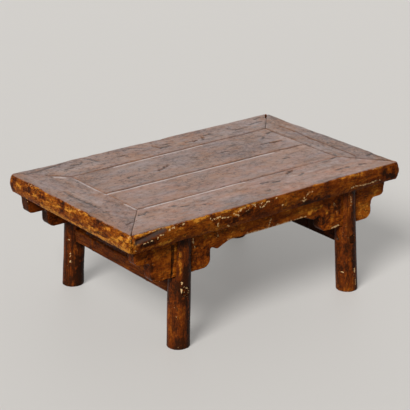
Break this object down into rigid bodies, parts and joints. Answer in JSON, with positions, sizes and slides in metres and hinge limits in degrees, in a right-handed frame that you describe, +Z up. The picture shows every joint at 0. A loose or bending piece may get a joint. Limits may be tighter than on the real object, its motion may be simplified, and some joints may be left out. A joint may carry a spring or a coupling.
{
  "type": "offering table",
  "caption": "Low recessed-leg offering table: mitred frame top with a floating panel, cloud-headed aprons slotted through splayed round legs, and end rails.",
  "frame": {"origin": "on the floor, under the middle of the table top", "axes": "+X along the long side, to the right as seen from the front; +Y to the back; +Z up"},
  "size_m": [0.708, 0.448, 0.274],
  "materials": {
    "panel_wood": "worn satin, dusty pinkish brown",
    "frame_wood": "worn satin top, amber lacquer on the edges",
    "apron_wood": "old glossy red-brown lacquer with chipped arrises",
    "leg_wood": "old glossy red-brown lacquer",
    "rail_wood": "dark worn lacquer",
    "hidden_wood": "bare dry wood",
    "peg_wood": "bare wood end grain"
  },
  "bodies": {
    "root": {"top_board_front": "panel_wood", "top_board_back": "panel_wood", "top_frame_front": "frame_wood", "top_frame_back": "frame_wood", "top_frame_left": "frame_wood", "top_frame_right": "frame_wood", "apron_front": "apron_wood", "apron_back": "apron_wood", "leg_front_left": "leg_wood", "leg_front_right": "leg_wood", "leg_back_left": "leg_wood", "leg_back_right": "leg_wood", "side_rail_left": "rail_wood", "side_rail_right": "rail_wood", "top_batten_left": "hidden_wood", "top_batten_right": "hidden_wood", "mitre_peg_front_left": "peg_wood", "mitre_peg_front_right": "peg_wood", "mitre_peg_back_left": "peg_wood", "mitre_peg_back_right": "peg_wood", "rail_peg_front_left": "peg_wood", "rail_peg_front_right": "peg_wood", "rail_peg_back_left": "peg_wood", "rail_peg_back_right": "peg_wood"}
  },
  "joints": []
}
